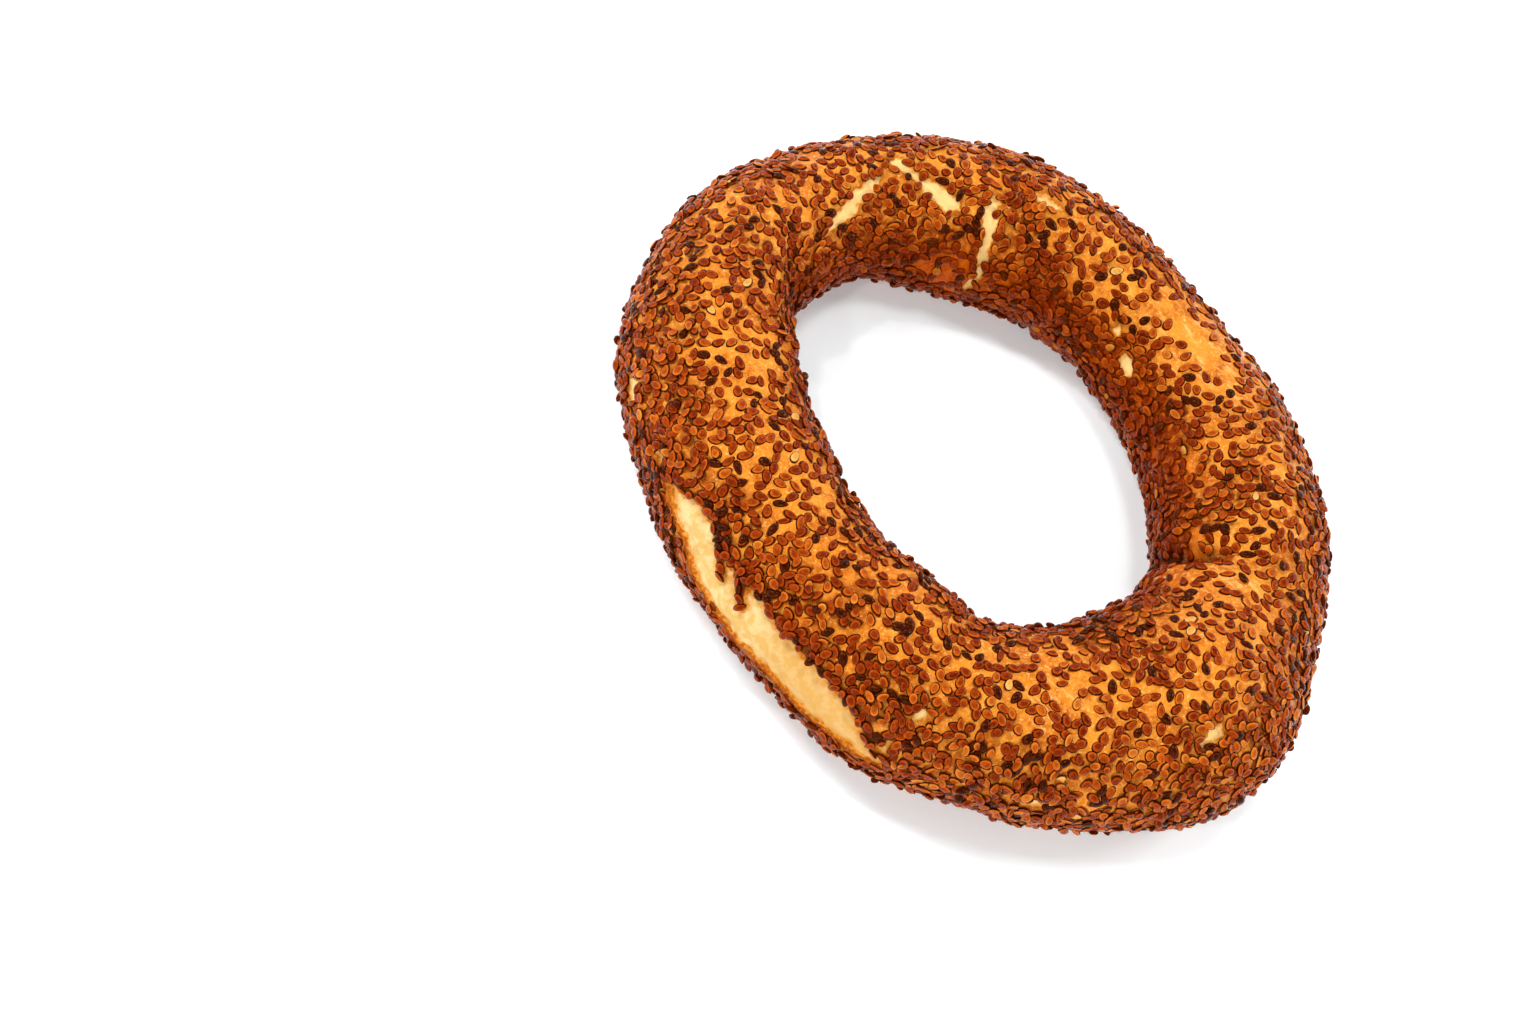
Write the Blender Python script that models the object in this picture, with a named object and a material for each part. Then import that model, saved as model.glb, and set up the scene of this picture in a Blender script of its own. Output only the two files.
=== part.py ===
"""A simit: one ring of sesame-crusted bread, about 16 cm across, lying flat.

It is a rope of dough whose ends were lapped and pressed together, so it is one solid. The ring is
a torus re-shaped by the sizes below: the rope's inner and outer radius and its height change
around the turn, its underside is baked flat, the lapped ends leave a crease, the turn is pinched
at two inner corners, and the crust has split open along one side.

Sizes are in millimetres. A turn is an angle around the ring, from +X towards +Y. A lap is an
angle around the rope: 0 on the ring's outside, 90 on its crown, 180 on its inside.
"""

import bpy
import numpy as np

MM = 0.001

# How fine the ring is cut: steps around the turn and around the rope.
TURN_STEPS = 132
LAP_STEPS = 34

# Where the steps of the turn lie closer together: a turn, a reach, and how much closer.
CLOSER_STEPS = ((344, 9, 1.5), (134, 8, 1.0))

# The torus that the ring starts as. Only its angles are kept.
TORUS_RADIUS = 2.0
TORUS_THICKNESS = 1.0

# The rope at equal steps of turn, with its coat of seeds: inner radius, outer radius, height.
STATIONS = np.array((
    (45, 84, 35), (47, 84, 32), (51, 83, 29), (53, 88, 31),
    (54, 90, 32), (59, 91, 28), (54, 89, 31), (41, 83, 34),
    (32, 75, 35), (29, 69, 34), (27, 67, 35), (28, 71, 36),
    (33, 74, 35), (36, 81, 36), (39, 90, 40), (45, 86, 35),
), dtype=float)

# The underside: where it cuts the rope, as a share of the half height, and how softly it turns up.
BASE_CUT = 0.8
BASE_EDGE = 1.5

# The hand-rolled rope is never even: gentle swellings, as waves around the turn, waves around
# the rope, a starting angle in degrees and a height.
SWELLINGS = (
    (5, 1, 40, 0.30),
    (8, -2, 190, 0.22),
    (13, 1, 75, 0.18),
    (19, 2, 310, 0.12),
)

# Lines pressed into the dough. Each point is a turn, a lap, a depth and a half width; a negative
# depth is a raised welt.
CREASE = ((350, 206, 1.2, 3.0), (345, 170, 2.8, 2.6), (344.5, 140, 2.4, 2.4), (344.5, 112, 1.1, 2.6),
          (348, 84, 0.0, 3.0))
WELT = ((342, 200, -0.8, 5.0), (337.5, 165, -1.8, 5.5), (337, 135, -1.6, 5.5), (337, 108, -0.7, 5.5),
        (339, 84, 0.0, 5.0))
SHARP_CORNER = ((133, 190, 1.0, 4.0), (134, 160, 2.8, 4.0), (134.5, 136, 2.2, 4.0), (131, 112, 1.0, 4.0),
                (124, 96, 0.0, 4.0))
SOFT_CORNER = ((269, 190, 0.4, 6.0), (268, 155, 1.2, 6.0), (266, 120, 0.7, 6.0), (263, 90, 0.0, 6.0))
SPLIT = ((190, 16, 0.0, 2.6), (196, 20, 1.5, 3.2), (206, 17, 2.0, 3.6), (214.5, 13, 2.1, 4.0),
         (222, 12, 2.1, 4.2), (230, 9, 2.0, 4.0), (239, 12, 1.8, 3.8), (246, 5, 1.2, 3.0),
         (251, 0, 0.0, 2.4))
PRESSED_LINES = (CREASE, WELT, SHARP_CORNER, SOFT_CORNER, SPLIT)

# Points laid between two neighbouring points of a pressed line.
LINE_STEPS = 10

CRUST_COLOUR = (0.27, 0.085, 0.022, 1.0)
CRUST_ROUGHNESS = 0.5


def clear_scene():
    """Remove every object that the file opened with."""
    for thing in list(bpy.data.objects):
        bpy.data.objects.remove(thing, do_unlink=True)


def crowd(turn):
    """Move evenly spaced turns so that they lie closer where the dough is pressed hard."""
    full = 2 * np.pi
    place = np.linspace(0, full, 3601)
    closeness = np.ones(len(place))
    for centre, reach, gain in CLOSER_STEPS:
        away = (place - np.radians(centre) + np.pi) % full - np.pi
        closeness += gain * np.exp(-(away / np.radians(reach)) ** 2)
    total = np.concatenate(([0], np.cumsum((closeness[1:] + closeness[:-1]) / 2)))
    return np.interp(turn / full * total[-1], total, place)


def around(sizes, turn):
    """Read a size between its stations, on a smooth closed curve through them."""
    count = len(sizes)
    place = turn / (2 * np.pi) * count
    step = np.floor(place).astype(int)
    f = place - step
    before, here, after, beyond = (sizes[(step + k) % count] for k in (-1, 0, 1, 2))
    bend = 2 * before - 5 * here + 4 * after - beyond
    swing = 3 * (here - after) + beyond - before
    return here + 0.5 * f * (after - before + f * (bend + f * swing))


def swelling(turn, lap):
    """Height of the uneven swellings on the rope."""
    height = np.zeros(np.broadcast(turn, lap).shape)
    for along, across, start, size in SWELLINGS:
        height += size * np.sin(along * turn + across * lap + np.radians(start))
    return height


def press_flat(height):
    """Lift what lies under the table onto it, turning up softly at the edge."""
    edge = (height + BASE_EDGE) ** 2 / (4 * BASE_EDGE)
    return np.where(height <= -BASE_EDGE, 0.0, np.where(height >= BASE_EDGE, height, edge))


def rope_surface(turn, lap):
    """Points on the rope before anything is pressed into it. Angles are in radians."""
    inner, outer, tall = (around(STATIONS[:, k], turn) for k in range(3))
    swell = swelling(turn, lap)
    half_height = tall / (1 + BASE_CUT)
    reach = (inner + outer) / 2 + ((outer - inner) / 2 + swell) * np.cos(lap)
    height = press_flat((half_height + swell) * np.sin(lap) + half_height * BASE_CUT)
    return np.stack((reach * np.cos(turn), reach * np.sin(turn), height), axis=-1)


def rope_core(turn):
    """Points on the rope's centre line."""
    inner, outer, tall = (around(STATIONS[:, k], turn) for k in range(3))
    reach = (inner + outer) / 2
    height = tall * BASE_CUT / (1 + BASE_CUT)
    return np.stack((reach * np.cos(turn), reach * np.sin(turn), height), axis=-1)


def line_on_rope(corners):
    """Spread a pressed line into close points, with the depth and half width at each."""
    corners = np.array(corners, dtype=float)
    place = np.linspace(0, len(corners) - 1, (len(corners) - 1) * LINE_STEPS + 1)
    turn, lap, depth, half_width = (
        np.interp(place, range(len(corners)), column) for column in corners.T)
    return rope_surface(np.radians(turn), np.radians(lap)), depth, half_width


def pressed_depth(points, corners):
    """How deep one pressed line goes at each point: a smooth trough that fades to each side."""
    line, depth, half_width = line_on_rope(corners)
    gap = np.linalg.norm(points[:, None, :] - line[None, :, :], axis=2)
    nearest = gap.argmin(axis=1)
    share = gap[np.arange(len(points)), nearest] / half_width[nearest]
    return depth[nearest] * np.exp(-share ** 2)


def simit_points(turn, lap):
    """Points on the finished simit, centred on the origin and standing on the table."""
    points = rope_surface(turn, lap)
    inward = rope_core(turn) - points
    inward /= np.linalg.norm(inward, axis=1, keepdims=True)
    depth = sum(pressed_depth(points, corners) for corners in PRESSED_LINES)
    above_base = points[:, 2:] > 0
    points = points + inward * depth[:, None] * above_base
    points[:, 2] = np.maximum(points[:, 2], 0)
    low, high = points.min(axis=0), points.max(axis=0)
    return points - ((low[0] + high[0]) / 2, (low[1] + high[1]) / 2, 0)


def add_ring(name):
    """Add a torus, and read each vertex's turn and lap back from it."""
    bpy.ops.mesh.primitive_torus_add(
        major_segments=TURN_STEPS, minor_segments=LAP_STEPS,
        major_radius=TORUS_RADIUS, minor_radius=TORUS_THICKNESS)
    ring = bpy.context.object
    ring.name = name
    ring.data.name = name
    flat = np.empty(len(ring.data.vertices) * 3)
    ring.data.vertices.foreach_get("co", flat)
    x, y, z = flat.reshape(-1, 3).T
    turn = crowd(np.arctan2(y, x) % (2 * np.pi))
    lap = np.arctan2(z, np.hypot(x, y) - TORUS_RADIUS)
    return ring, turn, lap


def crust_material():
    """Baked crust under toasted seeds."""
    material = bpy.data.materials.new("toasted_crust")
    material.use_nodes = True
    shader = material.node_tree.nodes["Principled BSDF"]
    shader.inputs["Base Color"].default_value = CRUST_COLOUR
    shader.inputs["Roughness"].default_value = CRUST_ROUGHNESS
    shader.inputs["Metallic"].default_value = 0.0
    material.diffuse_color = CRUST_COLOUR
    return material


def build_simit():
    """Make the ring of bread in a collection of its own."""
    collection = bpy.data.collections.new("simit")
    bpy.context.scene.collection.children.link(collection)
    ring, turn, lap = add_ring("simit_ring")
    points = simit_points(turn, lap) * MM
    ring.data.vertices.foreach_set("co", points.ravel())
    ring.data.update()
    ring.data.shade_smooth()
    ring.data.materials.append(crust_material())
    for old in list(ring.users_collection):
        old.objects.unlink(ring)
    collection.objects.link(ring)


clear_scene()
build_simit()
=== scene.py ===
import math

import bpy
import numpy as np
from mathutils import Matrix, Vector


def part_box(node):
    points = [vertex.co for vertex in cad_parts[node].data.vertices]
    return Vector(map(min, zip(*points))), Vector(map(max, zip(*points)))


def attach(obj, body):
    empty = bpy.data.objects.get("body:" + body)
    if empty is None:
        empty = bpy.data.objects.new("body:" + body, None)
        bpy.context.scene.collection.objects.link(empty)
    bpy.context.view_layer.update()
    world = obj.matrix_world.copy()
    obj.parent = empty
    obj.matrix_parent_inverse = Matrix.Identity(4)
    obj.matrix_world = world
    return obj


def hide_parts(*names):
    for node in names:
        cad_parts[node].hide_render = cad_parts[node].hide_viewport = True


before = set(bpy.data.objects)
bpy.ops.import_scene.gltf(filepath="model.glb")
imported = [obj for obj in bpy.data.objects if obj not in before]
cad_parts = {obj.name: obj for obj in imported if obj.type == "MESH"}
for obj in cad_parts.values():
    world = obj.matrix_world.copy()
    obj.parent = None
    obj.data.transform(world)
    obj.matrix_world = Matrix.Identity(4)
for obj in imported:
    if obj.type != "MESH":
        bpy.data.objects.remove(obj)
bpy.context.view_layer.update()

# ---------------------------------------------------------------------------------------------
# Baked dough ring. Wheat dough rolled to a rope, lapped on itself at +X and pressed together,
# dipped in thinned grape molasses and baked on its flat side. The glaze dries to a thin brown
# crust, which split along the outside and in a few short cracks where the dough rose most.

MM = 0.001
FULL = 2 * math.pi

# Places on the ring are given by their turn, the angle round the ring from +X towards +Y, and
# their lap, the angle round the rope: 0 outside, 90 on the crown and 180 inside, in degrees.

# The rope with its coat of seeds, as the solid has it, in mm: inner radius, outer radius and
# height at equal steps of turn.
STATIONS = np.array((
    (45, 84, 35), (47, 84, 32), (51, 83, 29), (53, 88, 31),
    (54, 90, 32), (59, 91, 28), (54, 89, 31), (41, 83, 34),
    (32, 75, 35), (29, 69, 34), (27, 67, 35), (28, 71, 36),
    (33, 74, 35), (36, 81, 36), (39, 90, 40), (45, 86, 35),
), dtype=float)

# How high the rope's core lies, as a share of its half height: what would be under the table is
# flat. Then how softly its sides meet the flat, in mm.
BASE_CUT = 0.8
BASE_EDGE = 1.5

# Waves in the rope's thickness: how many round the ring and round the rope, where they start in
# degrees, and their height in mm.
SWELLINGS = ((5, 1, 40, 0.30), (8, -2, 190, 0.22), (13, 1, 75, 0.18), (19, 2, 310, 0.12))

# Lines pressed into the dough: turn and lap, depth and half width in mm.
CREASE = ((350, 206, 1.2, 3.0), (345, 170, 2.8, 2.6), (344.5, 140, 2.4, 2.4), (344.5, 112, 1.1, 2.6),
          (348, 84, 0.0, 3.0))
WELT = ((342, 200, -0.8, 5.0), (337.5, 165, -1.8, 5.5), (337, 135, -1.6, 5.5), (337, 108, -0.7, 5.5),
        (339, 84, 0.0, 5.0))
SHARP_CORNER = ((133, 190, 1.0, 4.0), (134, 160, 2.8, 4.0), (134.5, 136, 2.2, 4.0), (131, 112, 1.0, 4.0),
                (124, 96, 0.0, 4.0))
SOFT_CORNER = ((269, 190, 0.4, 6.0), (268, 155, 1.2, 6.0), (266, 120, 0.7, 6.0), (263, 90, 0.0, 6.0))
PRESSED_LINES = (CREASE, WELT, SHARP_CORNER, SOFT_CORNER)

# Where the crust has torn open: turn and lap, half width in mm.
SPLIT = ((189.5, 16, 0.4), (194, 19, 2.6), (197.5, 22, 4.2), (201, 22, 5.2), (205, 17, 5.8),
         (209, 12, 6.6), (214, 12, 7.0), (218, 13, 7.2), (223, 11, 6.8), (229, 11, 6.8),
         (235, 9, 6.4), (241, 11, 5.8), (245.5, 6, 4.6), (249, 3, 3.0), (252, 1, 1.2), (253.5, 0, 0.2))
CRACKS = (
    ((124, 133, 0.3), (122, 129, 1.3), (118.5, 121.5, 1.9), (114.5, 113, 1.9), (111, 102, 2.1),
     (107.5, 92, 0.3)),
    ((106, 76, 0.3), (104.5, 82, 1.2), (102.2, 92, 1.2), (99.7, 103, 1.7), (96.8, 112, 2.6),
     (95.0, 116, 2.2), (93.6, 119, 0.3)),
    ((99.8, 74, 0.3), (97.5, 63, 1.6), (96, 59, 1.3), (94.6, 52, 0.2)),
    ((87.5, 98, 0.3), (87.5, 107, 1.7), (87, 119, 1.9), (86.8, 132, 1.5), (86.8, 147, 1.5),
     (86.3, 161, 1.3), (87, 177, 1.1), (88, 190, 0.3)),
    ((80.5, 86, 0.4), (78.5, 91, 1.8), (76.5, 92, 1.5), (74, 92, 0.5)),
    ((51.5, 136, 0.5), (51.1, 139, 1.8), (50.6, 142, 0.8)),
    ((46, 145, 0.4), (44.7, 151, 2.0), (43.5, 158, 1.7), (43, 163, 0.3)),
    ((40, 168, 0.3), (39, 173, 1.2), (38.3, 177, 0.3)),
    ((170, 6, 0.8), (172, 8, 2.5), (173.5, 10, 2.1), (175, 11, 0.6)),
    ((184, 14, 0.5), (185.5, 16, 2.1), (187, 18, 0.9)),
    ((249.5, 5, 0.6), (251.5, 12, 1.5), (252.5, 18, 1.2), (253.5, 23, 0.3)),
    ((254, 38, 0.5), (255, 44, 1.6), (256, 50, 0.8)),
    ((276, 10, 0.3), (278, 11, 1.6), (280.5, 12, 1.1), (282, 12, 0.2)),
    ((304.5, 48, 0.4), (305, 54, 1.4), (308, 57, 1.8), (309, 60, 0.6)),
)

# Tongues of crust that still hang across the split.
TONGUES = (
    ((203, 40, 1.4), (206, 33, 1.3), (208.5, 25, 0.9), (210, 20, 0.3)),
    ((211, 40, 1.6), (213.5, 31, 1.3), (215, 24, 0.9), (216.5, 17, 0.4)),
)

# How ragged a tear's edge is: height and length in mm and key of each unevenness. Then the half
# width from which a tear takes all of it, in mm, and the share that a tongue takes.
RAGGED_EDGE = ((0.55, 5.0, 11), (0.35, 2.2, 12))
FULLY_RAGGED = 1.8
RAGGED_TONGUE = 0.3

# The lap's edge, a sharp fold in the skin: turn and lap, depth and half width in mm.
FOLD = ((351, 196, 0.4, 0.9), (347.5, 178, 2.0, 1.1), (345, 160, 2.5, 1.1), (344, 146, 2.6, 1.0),
        (343.7, 136, 2.4, 1.0), (344, 128, 2.0, 1.0), (344.8, 120, 1.5, 0.9), (346.8, 112, 0.9, 0.8),
        (348, 103, 0.2, 0.7))

# Bare skin that the rising dough drew out in fine streaks: turn and lap, reach in mm.
STREAKED = ((42, 92, 8), (33, 96, 8), (26, 94, 5), (337.5, 150, 6), (336.5, 125, 6), (338, 104, 5),
            (281, 78, 7))

# How far the dough lies under the outside of the seeds, in mm.
SEED_COAT = 0.6

# Faces of the torus that becomes the crust, and how near a tear's edge they are cut finer, in mm.
TURN_STEPS = 420
LAP_STEPS = 120
TORUS_RADIUS = 2
FINE_BANDS = (3.0, 1.2)

# The crust's lip at a tear, in mm: its height, how far before the edge its top lies, its half
# width, and how far into the tear it reaches.
LIP_HEIGHT = 0.40
LIP_BEFORE = 0.6
LIP_WIDTH = 0.7
LIP_END = 0.6

# The crumb, in mm: how far into a tear its level is reached, how deep that is, how much it swells
# up again further in, and where that starts and ends.
CRUMB_START = 0.7
CRUMB_DEPTH = 0.6
CRUMB_SWELL = 0.8
SWELL_START = 0.6
SWELL_END = 5.0

# Lumps in the crust and in the crumb: height and length in mm, and key. They fade out towards the
# flat side, between these heights in mm.
CRUST_LUMPS = ((0.16, 9.0, 21), (0.06, 3.2, 22))
CRUMB_LUMPS = ((0.22, 6.0, 31), (0.12, 2.4, 32))
SMOOTH_BELOW = 0.2
LUMPY_ABOVE = 4.0

# The long split opened early: the turns between which it lies, and its highest lap. The short
# cracks opened late in the oven, so their borders are paler, and their rim gives way to fresh
# crumb sooner: a place counts as so much further in.
EARLY_TURNS = (182, 188, 250, 256)
EARLY_LAP = 50
LATE_CRUMB_WIDER = 1.7

# The toasted border of a tear: where it starts and is full, in mm inside the edge, which is on the
# crust when negative, how strong it is at the split and how much less at the late cracks.
TOAST_START = -2.1
TOAST_FULL = -0.5
TOAST_SHARE = 0.95
TOAST_LATE_LESS = 0.5

# Points for each stretch of a line drawn on the ring. In mm: how far round a line its distance is
# worked out, the distance that stands for further away, and the value where no tear is near.
LINE_STEPS = 10
SEARCH_REACH = 30.0
FAR_OFF = 1000.0
NO_TEAR = -30.0

# How many waves make up an uneven value, and the range of their lengths as shares of its length.
WAVES = 14
WAVE_LENGTHS = (0.7, 1.6)


def around(sizes, turn):
    """Read a size between its stations, on a smooth closed curve through them."""
    count = len(sizes)
    place = turn / FULL * count
    step = np.floor(place).astype(int)
    part = place - step
    before, here, after, beyond = (sizes[(step + k) % count] for k in (-1, 0, 1, 2))
    bend = 2 * before - 5 * here + 4 * after - beyond
    swing = 3 * (here - after) + beyond - before
    return here + 0.5 * part * (after - before + part * (bend + part * swing))


def rope_surface(turn, lap):
    """Points on the rope before anything is pressed into it, in mm; turn and lap in radians."""
    inner, outer, tall = (around(STATIONS[:, k], turn) for k in range(3))
    swell = sum(size * np.sin(along * turn + across * lap + math.radians(start))
                for along, across, start, size in SWELLINGS)
    half_height = tall / (1 + BASE_CUT)
    reach = (inner + outer) / 2 + ((outer - inner) / 2 + swell) * np.cos(lap)
    height = (half_height + swell) * np.sin(lap) + half_height * BASE_CUT
    edge = (height + BASE_EDGE) ** 2 / (4 * BASE_EDGE)
    height = np.where(height <= -BASE_EDGE, 0.0, np.where(height >= BASE_EDGE, height, edge))
    return np.stack((reach * np.cos(turn), reach * np.sin(turn), height), axis=-1)


def rope_core(turn):
    """Points on the rope's centre line, in mm."""
    inner, outer, tall = (around(STATIONS[:, k], turn) for k in range(3))
    reach = (inner + outer) / 2
    return np.stack((reach * np.cos(turn), reach * np.sin(turn), tall * BASE_CUT / (1 + BASE_CUT)), axis=-1)


def spread_line(corners):
    """Spread a line drawn on the rope into close points, with its other sizes at each."""
    corners = np.array(corners, dtype=float)
    place = np.linspace(0, len(corners) - 1, (len(corners) - 1) * LINE_STEPS + 1)
    turn, lap, *sizes = (np.interp(place, range(len(corners)), column) for column in corners.T)
    return rope_surface(np.radians(turn), np.radians(lap)), sizes


def nearest_on(points, line):
    """For each point, how far the line is and which of its points is nearest."""
    gap = np.full(len(points), FAR_OFF)
    nearest = np.zeros(len(points), dtype=int)
    middle = line.mean(axis=0)
    reach = np.linalg.norm(line - middle, axis=1).max() + SEARCH_REACH
    close = np.flatnonzero(np.linalg.norm(points - middle, axis=1) < reach)
    apart = np.linalg.norm(points[close, None, :] - line[None, :, :], axis=2)
    nearest[close] = apart.argmin(axis=1)
    gap[close] = apart.min(axis=1)
    return gap, nearest


def bump_at(points, middle, reach):
    """1 at the middle, falling smoothly to 0 over about that reach in mm."""
    return np.exp(-(np.linalg.norm(points - middle, axis=1) / reach) ** 2)


def pressed(points, turn):
    """The rope with its crease and its corners pressed in."""
    inward = rope_core(turn) - points
    inward /= np.linalg.norm(inward, axis=1, keepdims=True)
    total = np.zeros(len(points))
    for corners in PRESSED_LINES:
        line, (depth, half_width) = spread_line(corners)
        gap, nearest = nearest_on(points, line)
        total += depth[nearest] * np.exp(-(gap / half_width[nearest]) ** 2)
    moved = points + inward * (total * (points[:, 2] > 0))[:, None]
    moved[:, 2] = np.maximum(moved[:, 2], 0)
    return moved


def wander(points, length, key):
    """An uneven value from about -1 to 1 that changes over that many mm."""
    rng = np.random.default_rng(key)
    heading = rng.normal(size=(3, WAVES))
    heading /= np.linalg.norm(heading, axis=0) * length * rng.uniform(*WAVE_LENGTHS, WAVES)
    return np.sin(FULL * (points @ heading) + rng.uniform(0, FULL, WAVES)).sum(axis=1) / math.sqrt(WAVES)


def uneven_about(level, points, waves):
    """A level with uneven values added, each with its height, its length in mm and its key."""
    return sum((height * wander(points, length, key) for height, length, key in waves), level)


def smooth_step(value, low, high):
    """0 below low, 1 above high, and smooth between."""
    share = np.clip((value - low) / (high - low), 0, 1)
    return share * share * (3 - 2 * share)


def smooth_band(value, start, full, fading, end):
    """1 from full to fading, and smoothly down to 0 at start and end."""
    return smooth_step(value, start, full) * smooth_step(-value, -end, -fading)


def torn_inside(points):
    """How many mm inside the edge of a tear each point lies; outside it is negative."""
    inside = np.full(len(points), NO_TEAR)
    uneven = uneven_about(0, points, RAGGED_EDGE)
    for corners in (SPLIT,) + CRACKS:
        line, (half_width,) = spread_line(corners)
        gap, nearest = nearest_on(points, line)
        width = half_width[nearest]
        inside = np.maximum(inside, width - gap + uneven * np.minimum(1, width / FULLY_RAGGED))
    for corners in TONGUES:
        line, (half_width,) = spread_line(corners)
        gap, nearest = nearest_on(points, line)
        inside = np.minimum(inside, gap - half_width[nearest] - RAGGED_TONGUE * uneven)
    return inside


def lap_up(lap):
    """Lap in degrees from -180 to 180."""
    return (np.degrees(lap) + 180) % 360 - 180


def angles_of(mesh):
    """Each vertex's turn and lap in radians, while the mesh is still the plain torus."""
    flat = np.empty(len(mesh.vertices) * 3)
    mesh.vertices.foreach_get("co", flat)
    x, y, z = flat.reshape(-1, 3).T
    return np.arctan2(y, x) % FULL, np.arctan2(z, np.hypot(x, y) - TORUS_RADIUS)


def subdivide_where(item, band):
    """Cut the faces that lie within that many mm of a tear's edge in four."""
    mesh = item.data
    near = np.abs(torn_inside(rope_surface(*angles_of(mesh)))) < band
    chosen = [bool(near[list(face.vertices)].any()) for face in mesh.polygons]
    mesh.polygons.foreach_set("select", chosen)
    bpy.ops.object.mode_set(mode="EDIT")
    bpy.ops.mesh.select_mode(type="FACE")
    bpy.ops.mesh.subdivide(number_cuts=1)
    bpy.ops.object.mode_set(mode="OBJECT")


def normals_of(mesh):
    """Each vertex's outward direction."""
    flat = np.empty(len(mesh.vertices) * 3)
    mesh.vertex_normals.foreach_get("vector", flat)
    return flat.reshape(-1, 3)


def put_points(mesh, points):
    """Move the vertices to these points, given in mm."""
    mesh.vertices.foreach_set("co", (points * MM).ravel())
    mesh.update()


def put_value(mesh, name, values):
    """Store one number for each vertex."""
    layer = mesh.attributes.new(name, "FLOAT", "POINT")
    layer.data.foreach_set("value", np.asarray(values, dtype=np.float32))


bpy.ops.object.select_all(action="DESELECT")
bpy.ops.mesh.primitive_torus_add(
    major_segments=TURN_STEPS, minor_segments=LAP_STEPS, major_radius=TORUS_RADIUS, minor_radius=1)
crust = bpy.context.object
crust.name = crust.data.name = "crust"
bpy.ops.object.mode_set(mode="EDIT")
bpy.ops.mesh.select_all(action="DESELECT")
bpy.ops.object.mode_set(mode="OBJECT")
for band in FINE_BANDS:
    subdivide_where(crust, band)

turn, lap = angles_of(crust.data)
turn_degrees = np.degrees(turn)
lap_degrees = lap_up(lap)
plain = rope_surface(turn, lap)
inside = torn_inside(plain)
skin = pressed(plain, turn)
low, high = skin.min(axis=0), skin.max(axis=0)
cad_low, cad_high = (np.array(corner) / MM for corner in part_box("simit_ring"))
centring = np.append(((cad_low + cad_high) / 2 - (low + high) / 2)[:2], 0)
skin += centring
put_points(crust.data, skin)

# The crust's lip curls up at a tear, drops to the crumb, and the crumb swells up behind it.
in_tear = smooth_step(inside, 0.0, CRUMB_START)
lip = LIP_HEIGHT * np.exp(-((inside + LIP_BEFORE) / LIP_WIDTH) ** 2) * (inside < LIP_END)
crumb_level = -CRUMB_DEPTH * in_tear + CRUMB_SWELL * smooth_step(inside, SWELL_START, SWELL_END)
crumb_lumps = in_tear * uneven_about(0, skin, CRUMB_LUMPS)
fold_line, (fold_depth, fold_width) = spread_line(FOLD)
fold_gap, fold_at = nearest_on(plain, fold_line)
fold = fold_depth[fold_at] * np.exp(-(fold_gap / fold_width[fold_at]) ** 2)
raised = uneven_about(0, skin, CRUST_LUMPS) + lip + crumb_level + crumb_lumps - fold
raised *= smooth_step(skin[:, 2], SMOOTH_BELOW, LUMPY_ABOVE)
dough = skin + normals_of(crust.data) * (raised - SEED_COAT)[:, None]
dough[:, 2] = np.maximum(dough[:, 2], SEED_COAT)
put_points(crust.data, dough)
crust.data.shade_smooth()

# What the crust's material reads at each vertex.
stretched = np.zeros(len(skin))
for at_turn, at_lap, reach in STREAKED:
    middle = rope_surface(np.radians([at_turn]), np.radians([at_lap]))[0]
    stretched = np.maximum(stretched, bump_at(plain, middle, reach))
late = 1 - smooth_band(turn_degrees, *EARLY_TURNS) * (lap_degrees < EARLY_LAP)
toasting = smooth_step(inside, TOAST_START, TOAST_FULL) * (TOAST_SHARE - TOAST_LATE_LESS * late)
put_value(crust.data, "inside_tear", inside)
put_value(crust.data, "fold", fold)
put_value(crust.data, "stretched", stretched)
put_value(crust.data, "late", late)
put_value(crust.data, "into_crumb", inside * (1 + LATE_CRUMB_WIDER * late))
put_value(crust.data, "toasting", toasting)


def colour(hexes):
    """An sRGB hex colour as linear red, green, blue and alpha."""
    parts = [int(hexes[k:k + 2], 16) / 255 for k in (1, 3, 5)]
    return [p / 12.92 if p <= 0.04045 else ((p + 0.055) / 1.055) ** 2.4 for p in parts] + [1.0]


# Patterns in the crust: size in mm, detail, roughness, and the noise from which the pattern
# starts and is full. Real specks in a glaze are finer; these are as fine as a render shows.
BROAD_PATCHES = (24, 3.0, 0.55, 0.36, 0.66)
SMALL_PATCHES = (5, 4.0, 0.55, 0.35, 0.68)
SPECKLES = (1.0, 4.0, 0.7, 0.36, 0.66)
FLECKS = (0.65, 3.0, 0.6, 0.55, 0.72)
POOLS = (1.7, 3.0, 0.55, 0.38, 0.62)
TEAR_EDGE = (1.2, 4.0, 0.65, 0.3, 0.7)
STREAKS = (1.3, 3.0, 0.55, 0.53, 0.68)
STRANDS = (3.0, 5.0, 0.65, 0.40, 0.60)

# The glaze: thin over pale and over orange dough, well baked, its speckles, flecks and pools; the dark
# pool colour also carries painted shade. Then how much speckles, flecks and pools cover, and how much
# more or less glaze a pool holds.
GLAZE_GOLDEN = colour("#DD8C2B")
GLAZE_ORANGE = colour("#C86E15")
GLAZE_BROWN = colour("#AA500B")
SPECKLE = colour("#E2953A")
# Pale flecks: partly real pale specks, partly painted sparkle where light catches the glaze.
FLECK_AND_SPARKLE = colour("#F8C878")
POOL_AND_SHADE = colour("#772C02")
SPECKLE_SHARE = 0.50
FLECK_SHARE = 0.6
POOL_SHARE = 0.97
POOL_LEAST = 0.55
POOL_MOST = 1.45

# Painted light and shade: inside the ring light goes from crust to crust and shade falls, and both are
# painted in, deepening every colour there.
DEEP_CRUST = colour("#E8A83C")

# Painted shade in the fold's line, and the depths in mm at which it starts and is full.
FOLD_SHADE = colour("#4E1802")
FOLD_START = 0.25
FOLD_FULL = 1.6
FOLD_SHARE = 0.9

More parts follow.
